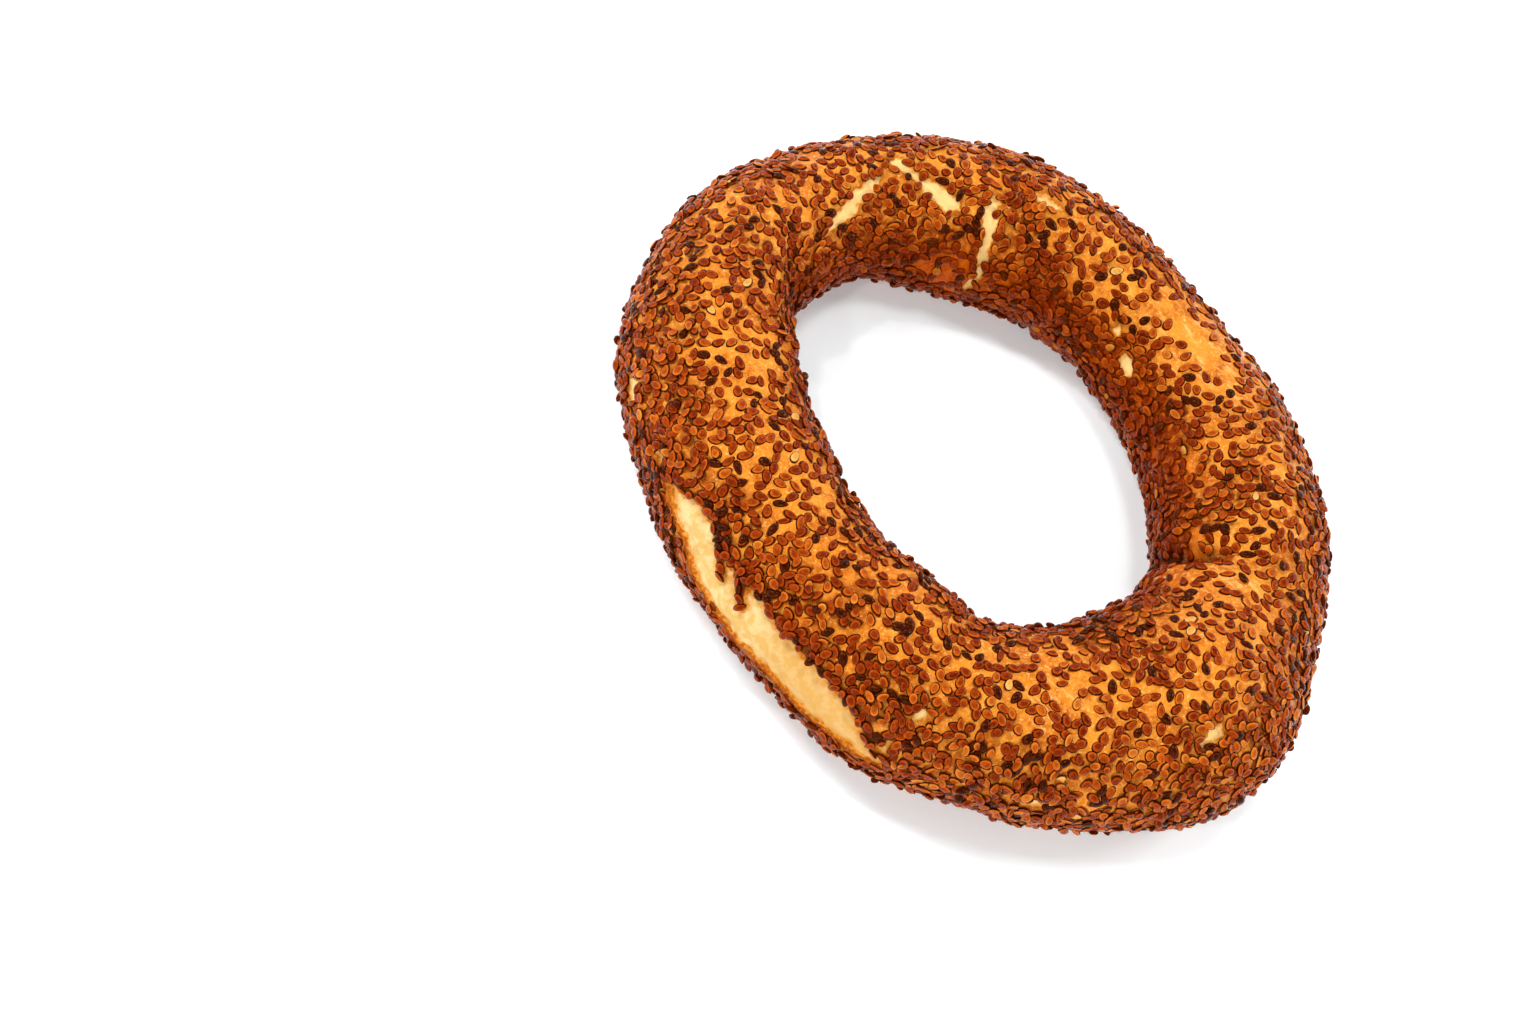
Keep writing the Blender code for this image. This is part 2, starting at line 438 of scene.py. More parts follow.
# Streaks in the drawn skin: their direction in degrees, and their length for their width.
STREAK_PALE = colour("#EDB468")
STREAK_ANGLE = -45
STREAK_LENGTHEN = 4.5
STREAK_SHARE = 0.75

# The edge of the crumb wanders by so many mm, and crust gives way to crumb over these mm inside
# the edge.
EDGE_WANDER = 0.7
CRUST_GIVES_WAY = (-0.2, 0.25)

# The borders of the tears: toasted, less and more as the edge wanders this far out and in, and
# dark on the split's upper side, partly charred and partly painted shade under the overhanging edge.
TOASTED = colour("#7C3205")
TOAST_OVER = (-0.6, 0.6)
TOAST_LEAST = 0.6
TOAST_MOST = 1.2
CHARRED_AND_SHADE = colour("#3E1403")
CHARRED_START = 0.3
CHARRED_SHARE = 0.8

# The crumb: pale with darker strands, baked brown in the split's lower end, and fresh in the late
# cracks. Its rim is brown, then gold, then crumb, over these mm inside the edge.
CRUMB_CREAM = colour("#D4B47D")
CRUMB_STRAND = colour("#C59D5A")
CRUMB_BAKED = colour("#BE8A42")
CRUMB_FRESH = colour("#E8C07A")
RIM_BROWN = colour("#9A4A0A")
RIM_GOLD = colour("#C97F28")
BAKED_SHARE = 0.55
BROWN_TO_GOLD = (-0.3, 1.0)
GOLD_TO_CRUMB = (0.4, 2.4)

# Dried molasses is satin and crumb is dull. The low, warm shine stands for the light that a syrup
# takes up.
CRUST_SMOOTHEST = 0.27
CRUST_ROUGHEST = 0.40
CRUMB_ROUGHER = 0.35
ROUGHER_OVER = (-0.3, 0.5)
CRUST_SPECULAR = 0.10
CRUST_SHINE = colour("#FFA458")

# Fine relief, pores and blisters: size in mm, detail and roughness. Then its depth in mm, and how
# strongly it shows.
PORES = (0.9, 5.0, 0.6)
BLISTERS = (3.0, 3.0, 0.55)
RELIEF_DEPTH = 0.4
RELIEF_STRENGTH = 0.45


def node(tree, kind, inputs=(), **settings):
    """Add a node with its settings; an input is a value or another node's output."""
    made = tree.nodes.new(kind)
    for name, value in settings.items():
        setattr(made, name, value)
    for socket, value in dict(inputs).items():
        if isinstance(value, bpy.types.NodeSocket):
            tree.links.new(value, made.inputs[socket])
        else:
            made.inputs[socket].default_value = value
    return made


def new_material(name):
    """A material with its tree and its shader."""
    material = bpy.data.materials.new(name)
    material.use_nodes = True
    return material, material.node_tree, material.node_tree.nodes["Principled BSDF"]


def stored_values(tree, *names):
    """The numbers that the mesh stores for each vertex under those names."""
    return [node(tree, "ShaderNodeAttribute", attribute_name=name).outputs["Fac"] for name in names]


def pattern(tree, place, kind, least=0.0, most=1.0):
    """One of the patterns, smoothly from its least to its most."""
    size_mm, detail, roughness, start, full = kind
    noise = node(tree, "ShaderNodeTexNoise", {"Vector": place, "Scale": 1 / (size_mm * MM),
                                              "Detail": detail, "Roughness": roughness})
    return node(tree, "ShaderNodeMapRange", {"Value": noise.outputs["Fac"], "From Min": start,
                                             "From Max": full, "To Min": least, "To Max": most},
                interpolation_type="SMOOTHSTEP").outputs["Result"]


def covered(tree, under, over, value, start=0.0, full=1.0, share=1.0):
    """A colour that another covers, up to a share, where a value rises from start to full."""
    cover = node(tree, "ShaderNodeMapRange", {"Value": value, "From Min": start, "From Max": full,
                                              "To Max": share}, interpolation_type="SMOOTHSTEP")
    return node(tree, "ShaderNodeMix", {0: cover.outputs["Result"], 6: under, 7: over},
                data_type="RGBA").outputs[2]


def fine_relief(tree, place, grains, strength, depth_mm):
    """Relief added up from grains, each with its size in mm, its detail and its roughness."""
    heights = [node(tree, "ShaderNodeTexNoise", {"Vector": place, "Scale": 1 / (size_mm * MM),
                                                 "Detail": detail, "Roughness": roughness}).outputs["Fac"]
               for size_mm, detail, roughness in grains]
    height = heights[0]
    for further in heights[1:]:
        height = node(tree, "ShaderNodeMath", {0: height, 1: further}, operation="ADD").outputs[0]
    return node(tree, "ShaderNodeBump", {"Height": height, "Strength": strength,
                                         "Distance": depth_mm * MM}).outputs["Normal"]


def glazed_tint(tree, place):
    """The glaze's colour: golden to orange brown in patches, browner where the glaze is thick, and darker
    again with the painted shade that the same value holds.
    """
    (glaze_and_shade_at,) = stored_values(tree, "glaze_and_shade")
    golden = node(tree, "ShaderNodeMix", {0: pattern(tree, place, BROAD_PATCHES), 6: GLAZE_GOLDEN,
                                          7: GLAZE_ORANGE}, data_type="RGBA").outputs[2]
    baked = node(tree, "ShaderNodeMix", {0: pattern(tree, place, SMALL_PATCHES), 6: golden,
                                         7: GLAZE_BROWN}, data_type="RGBA").outputs[2]
    speckled = covered(tree, baked, SPECKLE, pattern(tree, place, SPECKLES), share=SPECKLE_SHARE)
    # Painted sparkle, partly real pale specks: pale flecks on the glaze.
    flecked_and_sparkled = node(tree, "ShaderNodeMix", {0: pattern(tree, place, FLECKS, most=FLECK_SHARE), 6: speckled,
                                           7: FLECK_AND_SPARKLE}, data_type="RGBA").outputs[2]
    pools = pattern(tree, place, POOLS, POOL_LEAST, POOL_MOST)
    # Painted shade: the glaze value also darkens the crust between crowded seeds, inside the ring, on its
    # far side and low on its left.
    pooled_and_shaded = node(tree, "ShaderNodeMath", {0: glaze_and_shade_at, 1: pools}, operation="MULTIPLY").outputs[0]
    return covered(tree, flecked_and_sparkled, POOL_AND_SHADE, pooled_and_shaded, share=POOL_SHARE)


def crust_material():
    """Wheat crust glazed with molasses and baked: satin, golden to orange brown, with pale, dull
    crumb where it tore, toasted along the edge."""
    material, tree, shader = new_material("glazed_crust")
    place = node(tree, "ShaderNodeTexCoord").outputs["Object"]
    torn_at, into_crumb, fold_at, stretched_at, late_at, toasting_at, painted_shade_at, charred_and_shaded_at, baked_at = (
        stored_values(tree, "inside_tear", "into_crumb", "fold", "stretched", "late", "toasting", "painted_shade",
                      "charred_and_shaded", "baked"))
    ragged = pattern(tree, place, TEAR_EDGE, -EDGE_WANDER, EDGE_WANDER)
    crumb_at = node(tree, "ShaderNodeMath", {0: into_crumb, 1: ragged}, operation="ADD").outputs[0]

    glazed_and_shaded = node(tree, "ShaderNodeMix", {0: painted_shade_at, 6: glazed_tint(tree, place), 7: DEEP_CRUST},
                  data_type="RGBA", blend_type="MULTIPLY").outputs[2]
    # Painted shade: the crust darkens along the fold, where shade falls in the crease.
    fold_shaded = covered(tree, glazed_and_shaded, FOLD_SHADE, fold_at, FOLD_START, FOLD_FULL, FOLD_SHARE)
    drawn = node(tree, "ShaderNodeMapping", {"Vector": place, "Rotation": (0, 0, math.radians(STREAK_ANGLE)),
                                             "Scale": (STREAK_LENGTHEN, 1, 1)}, vector_type="TEXTURE")
    streaks = pattern(tree, drawn.outputs["Vector"], STREAKS, most=STREAK_SHARE)
    pulled = node(tree, "ShaderNodeMath", {0: streaks, 1: stretched_at}, operation="MULTIPLY")
    streaked = node(tree, "ShaderNodeMix", {0: pulled.outputs[0], 6: fold_shaded, 7: STREAK_PALE},
                    data_type="RGBA").outputs[2]
    patchy_toast = node(tree, "ShaderNodeMapRange", {"Value": ragged, "From Min": TOAST_OVER[0],
                                                     "From Max": TOAST_OVER[1], "To Min": TOAST_LEAST,
                                                     "To Max": TOAST_MOST},
                        interpolation_type="SMOOTHSTEP").outputs["Result"]
    darkening = node(tree, "ShaderNodeMath", {0: toasting_at, 1: patchy_toast}, operation="MULTIPLY")
    toasted = node(tree, "ShaderNodeMix", {0: darkening.outputs[0], 6: streaked, 7: TOASTED},
                   data_type="RGBA").outputs[2]
    charred_and_shaded = covered(tree, toasted, CHARRED_AND_SHADE, charred_and_shaded_at, CHARRED_START, 1.0, CHARRED_SHARE)

    crumb = node(tree, "ShaderNodeMix", {0: pattern(tree, place, STRANDS), 6: CRUMB_CREAM, 7: CRUMB_STRAND},
                 data_type="RGBA").outputs[2]
    baked_crumb = covered(tree, crumb, CRUMB_BAKED, baked_at, share=BAKED_SHARE)
    fresh = node(tree, "ShaderNodeMix", {0: late_at, 6: baked_crumb, 7: CRUMB_FRESH},
                 data_type="RGBA").outputs[2]
    rim = covered(tree, RIM_BROWN, RIM_GOLD, crumb_at, *BROWN_TO_GOLD)
    rimmed_crumb = covered(tree, rim, fresh, crumb_at, *GOLD_TO_CRUMB)
    crust_and_crumb = covered(tree, charred_and_shaded, rimmed_crumb, torn_at, *CRUST_GIVES_WAY)
    tree.links.new(crust_and_crumb, shader.inputs["Base Color"])

    satin = node(tree, "ShaderNodeMapRange", {"Value": pattern(tree, place, SMALL_PATCHES),
                                              "To Min": CRUST_SMOOTHEST, "To Max": CRUST_ROUGHEST},
                 interpolation_type="SMOOTHSTEP").outputs["Result"]
    dulled = node(tree, "ShaderNodeMapRange", {"Value": torn_at, "From Min": ROUGHER_OVER[0],
                                               "From Max": ROUGHER_OVER[1], "To Max": CRUMB_ROUGHER},
                  interpolation_type="SMOOTHSTEP").outputs["Result"]
    rough = node(tree, "ShaderNodeMath", {0: satin, 1: dulled}, operation="ADD")
    tree.links.new(rough.outputs[0], shader.inputs["Roughness"])
    shader.inputs["Specular IOR Level"].default_value = CRUST_SPECULAR
    shader.inputs["Specular Tint"].default_value = CRUST_SHINE

    relief = fine_relief(tree, place, (PORES, BLISTERS), RELIEF_STRENGTH, RELIEF_DEPTH)
    tree.links.new(relief, shader.inputs["Normal"])
    return material


crust.data.materials.clear()
crust.data.materials.append(crust_material())
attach(crust, "root")
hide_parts("simit_ring")

# ---------------------------------------------------------------------------------------------
# Sesame. Whole seeds, 3 mm long drops with a flat back, caught in the molasses when the raw ring
# was rolled in them, and toasted on it. Each sits in a dark rim, partly dried molasses and partly
# painted contact shadow. They are one piece for each tone that the oven gave them, though darker
# tones are also picked as painted shade low on the left and under the split's upper edge.

SEED_LENGTH = 3.0
SEED_WIDTH = 1.9
SEED_THICK = 1.1
SEED_SEGMENTS = 12
SEED_RINGS = 4

# How much a seed narrows to its point: evenly along it, and more at both ends.
SEED_TAPER = 0.22
SEED_ENDS = 0.05

# Each row of points of a seed, from the middle of its top to the middle of its back: how far out
# it lies, its height, both as shares of the seed, and how far down the seed's side it is. A seed
# stuck to the crust has a skirt of molasses that dives into it; one that lies on others doesn't.
STUCK_ROWS = ((0.0, 0.52, 0.0), (0.66, 0.40, 0.3), (0.99, -0.04, 0.65), (1.34, -0.42, 1.0),
              (0.0, -0.55, 1.0))
LOOSE_ROWS = ((0.0, 0.50, 0.0), (0.64, 0.40, 0.3), (1.0, 0.02, 0.66), (0.84, -0.28, 0.75),
              (0.0, -0.36, 0.75))

# Seeds for each square mm: on the crown, where many were rubbed off, down the sides, under the
# ring, and in the loose second layer that the sides also carry.
THIN_COAT = 0.20
THICK_COAT = 0.30
BASE_COAT = 0.10
SECOND_COAT = 0.085

# The least distance between two seeds of a layer, in mm, how much closer they lie along the edges
# of tears, except below the split, and how many places are tried for each seed.
CLOSEST_THIN = 1.95
CLOSEST_THICK = 1.6
CLOSEST_LOOSE = 2.0
CLOSER_AT_EDGE = 0.15
TRIES = 2.6

# The crown's middle lap and reach, in degrees, and how fast the second layer thins towards it.
CROWN_LAP = 90
CROWN_REACH = 50
SECOND_FALL = 1.5

# Unevenness of the coat and of its second layer: height and length in mm, and key.
COAT_PATCHES = ((0.16, 18.0, 41), (0.14, 6.0, 42))
COAT_LIMITS = (0.3, 1.6)
SECOND_PATCH = 0.8
SECOND_PATCH_LENGTH = 11.0

# Heights in mm over which the coat of the underside turns into that of the sides, and the seeds
# for each square mm from which a coat looks crowded and is.
OFF_TABLE = (0.5, 5.0)
CROWDED = (0.16, 0.29)

# Around a tear, in mm: the strip of the split's lower side that is bare, the place and half width
# of the row of seeds along an edge, how far off the loose ones stay, and the border in which
# seeds have no skirt, because the crust ends there.
BARE_BELOW = 1.4
EDGE_ROW = 1.0
EDGE_ROW_WIDTH = 1.6
LOOSE_OFF_EDGE = 1.0
BARE_EDGE = 1.3

# The depths of the fold, in mm, from which it holds no seeds and no loose ones.
FOLD_BARE = 0.8
FOLD_BARE_OF_LOOSE = 0.2

# Parts of the ring: where the inner side and the split's surroundings start, are full, fade and
# end, by lap and by turn, and the turns over which the split's crumb gets browner. The far and the
# left side by their direction, and the cosines from which a place faces it a little and fully.
# The low side by how many degrees a lap is under the rope's middle.
INNER_LAPS = (120, 165, 215, 250)
SPLIT_TURNS = (186, 190, 252, 256)
BAKED_TURNS = (215, 235)
FAR_SIDE = (20, -0.1, 0.7)
LEFT_SIDE = (190, 0.2, 0.8)
LOW_LAPS = (-15, 20)

# How much glaze, with painted shade, lies between crowded seeds, and how much painted shade lies
# inside, on the far side and low on the left. None of the crowded part comes nearer to a tear than
# the given mm.
GLAZE_AND_SHADE_CROWDED = 0.5
SHADE_INSIDE = 0.15
SHADE_FAR = 0.15
SHADE_LOW = 0.4
GLAZE_OFF_EDGE = 0.2

# How much darker the seeds are along the split's upper edge, partly from the oven and partly as
# painted shade under the overhang, and low on the left, as painted shade; and how much of the inner
# side's painted shade the low left has.
EDGE_DARKER = 0.6
LOW_DARKER = 0.4
LOW_SHADE = 0.5

# How much seeds differ in length, width and thickness, and how far the lowest are off the table.
SIZE_SPREAD = (0.09, 0.10, 0.12)
CLEAR_OF_TABLE = 0.02

# How much seeds tip, and how high they lie, in mm: loose ones, stuck ones, and how much more
# stuck ones do in a crowd. Those within so many mm of the lowest dough lie flat.
LOOSE_TILT = 0.3
STUCK_TILT = 0.05
CROWDED_TILT = 0.16
LOOSE_LIFT = (0.55, 0.95)
STUCK_LIFT = 0.10
CROWDED_LIFT = 0.25
FLAT_UNDER = 0.3

# Stretches with few seeds: turn and lap, reach in mm, and the share that is left.
BARE = (
    (42, 90, 8, 0.1), (36, 90, 8, 0.1), (30, 98, 7, 0.2), (47, 98, 6, 0.25), (25, 94, 5, 0.4),
    (338, 150, 5, 0.1), (337.5, 135, 5.5, 0.1), (336.5, 118, 5.5, 0.15), (338, 100, 5, 0.35),
    (346, 135, 4, 0.3), (93, 184, 6, 0.3), (107, 82, 5, 0.35), (62, 132, 5, 0.4), (281.5, 75, 9, 0.55),
    (168.5, 90, 9, 0.55), (198.5, 99, 9, 0.55), (8, 133, 6, 0.4), (91, 172, 7, 0.3),
)


def from_lowest(face):
    """A face's vertices in their order round it, from the one with the lowest number."""
    start = face.index(min(face))
    return face[start:] + face[:start]


def seed_model():
    """One seed in mm, lying along X with its point at +X: stuck and loose shape, sides and faces."""
    bpy.ops.object.select_all(action="DESELECT")
    bpy.ops.mesh.primitive_uv_sphere_add(segments=SEED_SEGMENTS, ring_count=SEED_RINGS, radius=1)
    item = bpy.context.object
    flat = np.empty(len(item.data.vertices) * 3)
    item.data.vertices.foreach_get("co", flat)
    x, y, z = flat.reshape(-1, 3).T
    row = np.round(np.arccos(np.clip(z, -1, 1)) / (math.pi / SEED_RINGS)).astype(int)
    turned = np.arctan2(y, x) + math.pi / SEED_SEGMENTS
    faces = sorted(from_lowest(list(face.vertices)) for face in item.data.polygons)
    bpy.data.objects.remove(item, do_unlink=True)
    shapes, sides = [], []
    for rows in (STUCK_ROWS, LOOSE_ROWS):
        reach, level, side = np.array(rows)[row].T
        along = np.cos(turned) * reach
        aside = np.sin(turned) * reach
        taper = 1 - SEED_TAPER * along - SEED_ENDS * along ** 2
        shapes.append(np.stack((along * SEED_LENGTH / 2, aside * taper * SEED_WIDTH / 2,
                                level * SEED_THICK), axis=-1))
        sides.append(side)
    return shapes, sides, faces


def above_split(turn_degrees, lap_degrees):
    """1 on the upper side of the long split and 0 on its lower side."""
    line = np.array(SPLIT)
    return (lap_degrees > np.interp(turn_degrees, line[:, 0], line[:, 1])).astype(float)


def rubbed_at(skin):
    """The share of its seeds that each part of the ring has kept."""
    kept = np.ones(len(skin))
    for at_turn, at_lap, reach, left in BARE:
        middle = rope_surface(np.radians([at_turn]), np.radians([at_lap]))[0] + centring
        kept *= 1 + (left - 1) * bump_at(skin, middle, reach)
    return kept


def facing(turn, direction, low, high):
    """How well places at that turn face a direction in degrees, from its low to its high cosine."""
    return smooth_step(np.cos(turn - math.radians(direction)), low, high)


def at_places(where, values):
    """A value that each vertex of the crust has, at places on the crust."""
    triangle, shares = where
    return np.einsum("nk,nk...->n...", shares, values[corner_ids[triangle]])


def scatter(coat, closest, key):
    """Places for seeds on the crust: the triangle each is in, and its shares of the three corners."""
    rng = np.random.default_rng(key)
    weight = area * coat[corner_ids].mean(axis=1)
    wanted = weight.sum()
    tries = int(wanted * TRIES)
    picked = rng.choice(len(area), size=tries, p=weight / wanted)
    shares = rng.dirichlet((1, 1, 1), size=tries)
    places = at_places((picked, shares), dough)
    least_apart = at_places((picked, shares), closest)
    homes = np.floor(places / least_apart.max()).astype(int).tolist()
    cells = {}
    kept = []
    beside = [(i, j, k) for i in (-1, 0, 1) for j in (-1, 0, 1) for k in (-1, 0, 1)]
    for index, ((i, j, k), place, least) in enumerate(zip(homes, places.tolist(), least_apart.tolist())):
        near = (other for di, dj, dk in beside for other in cells.get((i + di, j + dj, k + dk), ()))
        if any(math.dist(place, other) < least for other in near):
            continue
        cells.setdefault((i, j, k), []).append(place)
        kept.append(index)
        if len(kept) >= wanted:
            break
    return picked[kept], shares[kept]


def seed_bodies(shape, places, ways, tilt, lift, key):
    """The points of each seed, turned at random, tipped and lifted."""
    rng = np.random.default_rng(key)
    count = len(places)
    ways = ways / np.linalg.norm(ways, axis=1, keepdims=True)
    up = ways + rng.normal(size=(count, 3)) * tilt[:, None]
    up /= np.linalg.norm(up, axis=1, keepdims=True)
    anyway = rng.normal(size=(count, 3))
    along = anyway - up * np.sum(anyway * up, axis=1, keepdims=True)
    along /= np.linalg.norm(along, axis=1, keepdims=True)
    sizes = 1 + rng.normal(size=(count, 1, 3)) * SIZE_SPREAD
    frames = np.stack((along, np.cross(up, along), up), axis=1)
    bodies = np.einsum("nvk,nkd->nvd", shape * sizes, frames) + (places + ways * lift[:, None])[:, None, :]
    bodies[:, :, 2] = np.maximum(bodies[:, :, 2], CLEAR_OF_TABLE)
    return bodies


crust.data.calc_loop_triangles()
corner_ids = np.empty(len(crust.data.loop_triangles) * 3, dtype=np.int32)
crust.data.loop_triangles.foreach_get("vertices", corner_ids)
corner_ids = corner_ids.reshape(-1, 3)
a, b, c = (dough[corner_ids[:, k]] for k in range(3))
area = np.linalg.norm(np.cross(b - a, c - a), axis=1) / 2
outward = normals_of(crust.data)

# How thick the coat is: thin on the crown, none in the tears, crowded along their edges.
crown = np.exp(-((lap_degrees - CROWN_LAP) / CROWN_REACH) ** 2)
inner_side = smooth_band(lap_degrees % 360, *INNER_LAPS)
off_table = smooth_step(skin[:, 2], *OFF_TABLE)
rubbed = rubbed_at(skin)
uneven = np.clip(uneven_about(1, skin, COAT_PATCHES), *COAT_LIMITS)
beside_split = smooth_band(turn_degrees, *SPLIT_TURNS)
upper = above_split(turn_degrees, lap_degrees)
free = (inside < -BARE_BELOW * (1 - upper) * beside_split) & (fold < FOLD_BARE)
coat = (THICK_COAT + (THIN_COAT - THICK_COAT) * crown) * uneven * rubbed * free
coat = coat * off_table + BASE_COAT * (1 - off_table)
crowded = smooth_step(coat, *CROWDED)
at_edge = np.exp(-((inside + EDGE_ROW) / EDGE_ROW_WIDTH) ** 2)
loose_free = (inside < -LOOSE_OFF_EDGE) * (fold < FOLD_BARE_OF_LOOSE)
second_coat = SECOND_COAT * (1 - crown) ** SECOND_FALL * uneven * rubbed ** 2 * loose_free * off_table
second_coat *= 1 + SECOND_PATCH * wander(skin, SECOND_PATCH_LENGTH, key=43).clip(-1, 1)

# The crust is browner between crowded seeds, where the glaze is thicker and shade is painted, and
# browner with painted shade alone inside the ring, on its far side and low on its left.
far_side = facing(turn, *FAR_SIDE)
low_left = smooth_step(-lap_degrees, *LOW_LAPS) * facing(turn, *LEFT_SIDE)
glaze_and_shade = np.clip(GLAZE_AND_SHADE_CROWDED * crowded * (inside < -GLAZE_OFF_EDGE) + SHADE_INSIDE * inner_side
                + SHADE_FAR * far_side + SHADE_LOW * low_left, 0, 1)
put_value(crust.data, "glaze_and_shade", glaze_and_shade)
# Painted light and shade inside the ring, which deepens the crust's colour.
put_value(crust.data, "painted_shade", inner_side)
# Partly charred crust, partly painted shade under the split's overhanging upper edge.
put_value(crust.data, "charred_and_shaded", at_edge * upper * beside_split)
put_value(crust.data, "baked", smooth_step(turn_degrees, *BAKED_TURNS) * beside_split)

closest = (CLOSEST_THIN + (CLOSEST_THICK - CLOSEST_THIN) * crowded) * (1 - CLOSER_AT_EDGE * at_edge * upper)
first = scatter(coat * (1 + (1 + upper * beside_split) * at_edge), closest, key=71)
second = scatter(second_coat, np.full(len(skin), CLOSEST_LOOSE), key=72)
both = [np.concatenate(parts) for parts in zip(first, second)]
count = len(both[0])
is_loose = np.arange(count) >= len(first[0])
is_skirted = ~is_loose & (at_places(both, inside) < -BARE_EDGE)
place = at_places(both, dough)
crowd = at_places(both, crowded)
# Painted shade on each seed: inside the ring, and in part low on the left.
painted_shade = at_places(both, np.maximum(inner_side, LOW_SHADE * low_left))
# Each seed's skirt takes the same glaze and painted shade as the crust under it.
glazed_and_shaded = at_places(both, glaze_and_shade)
# Painted shade, partly real: darker seeds along the split's upper edge and low on the left.
burnt_and_shaded = at_places(both, np.maximum(EDGE_DARKER * at_edge * upper * beside_split, LOW_DARKER * low_left))

rng = np.random.default_rng(7)
on_base = place[:, 2] < SEED_COAT + FLAT_UNDER
tilt = np.where(is_loose, LOOSE_TILT, np.where(on_base, 0.0, STUCK_TILT + CROWDED_TILT * crowd))
loose_lift = rng.uniform(*LOOSE_LIFT, count)
stuck_lift = STUCK_LIFT + rng.uniform(0, CROWDED_LIFT, count) * crowd
lift = np.where(is_loose, loose_lift, np.where(on_base, 0.0, stuck_lift))
(stuck_shape, loose_shape), (stuck_side, loose_side), faces = seed_model()
shape = np.where(is_skirted[:, None, None], stuck_shape, loose_shape)
bodies = seed_bodies(shape, place, at_places(both, outward), tilt, lift, key=81)
seed_tone = rng.uniform(0, 1, count)
crowd = np.maximum(crowd, is_loose)


def join_seeds(name, chosen):
    """One mesh of the chosen seeds, with a tone for each seed and each point's place on its seed."""
    number, each = len(chosen), len(stuck_side)
    back = int(np.argmin(stuck_shape[:, 2]))
    mesh = bpy.data.meshes.new(name)
    face_sizes = np.array([len(face) for face in faces])
    loops = (np.concatenate(faces)[None, :] + np.arange(number)[:, None] * each).ravel()
    starts = np.concatenate(([0], np.cumsum(np.tile(face_sizes, number))[:-1]))
    mesh.vertices.add(number * each)
    mesh.vertices.foreach_set("co", (bodies[chosen] * MM).ravel())
    mesh.loops.add(len(loops))
    mesh.loops.foreach_set("vertex_index", loops.astype(np.int32))
    mesh.polygons.add(number * len(faces))
    mesh.polygons.foreach_set("loop_start", starts.astype(np.int32))
    mesh.update(calc_edges=True)
    mesh.validate()
    mesh.polygons.foreach_set("use_smooth", np.tile([back not in face for face in faces], number))
    put_value(mesh, "tone", np.repeat(seed_tone[chosen], each))
    put_value(mesh, "painted_shade", np.repeat(painted_shade[chosen], each))
    put_value(mesh, "glaze_and_shade", np.repeat(glazed_and_shaded[chosen], each))
    put_value(mesh, "rim", np.where(is_skirted[chosen, None], stuck_side, loose_side).ravel())
    put_value(mesh, "end_to_end", np.tile(stuck_shape[:, 0] / SEED_LENGTH + 0.5, number))
    item = bpy.data.objects.new(name, mesh)
    bpy.context.scene.collection.objects.link(item)
    return item


# A seed's own mottling, as the crust's patterns, and how far its tone, its mottling and its
# point change its colour.
MOTTLE = (1.0, 3.0, 0.55, 0.36, 0.62)
TONE_SHARE = 0.35
MOTTLE_SHARE = 0.6
EDGE_SHARE = 0.85
POINT_START = 0.75
POINT_SHARE = 0.6

# Bands down a seed's side, by how far down they start and are full: its lighter edge, partly the
# seed's paler rim and partly painted rim highlight; the dark line where molasses dried against it
# and the brown foot of that, both also painted contact shadow; and the glaze around it.
EDGE_BAND = (0.16, 0.44)
LINE_BAND = (0.43, 0.58)
FOOT_BAND = (0.67, 0.76)
GLAZE_BAND = (0.74, 0.98)
DARK_LINE_AND_SHADOW = colour("#240400")
DARK_FOOT_AND_SHADOW = colour("#6E2803")

# Seeds inside the ring, and in part low on the left: syrup on them with painted shade, and the deeper light
# there, painted in too.
SYRUP_AND_SHADE = colour("#8A4008")
SYRUP_SHARE = 0.25
DEEP_SEEDS = colour("#E4BC50")

# Syrup on a toasted seed dries glossy, with a low, warm shine. Its skin is finely wrinkled: size
# in mm, detail and roughness, then depth in mm, and how strongly it shows.
SEED_SMOOTHEST = 0.19
SEED_ROUGHEST = 0.29
SEED_SPECULAR = 0.17
SEED_SHINE = colour("#FFA04C")
WRINKLES = (0.5, 2.0, 0.55)
WRINKLE_DEPTH = 0.15
WRINKLE_STRENGTH = 0.12


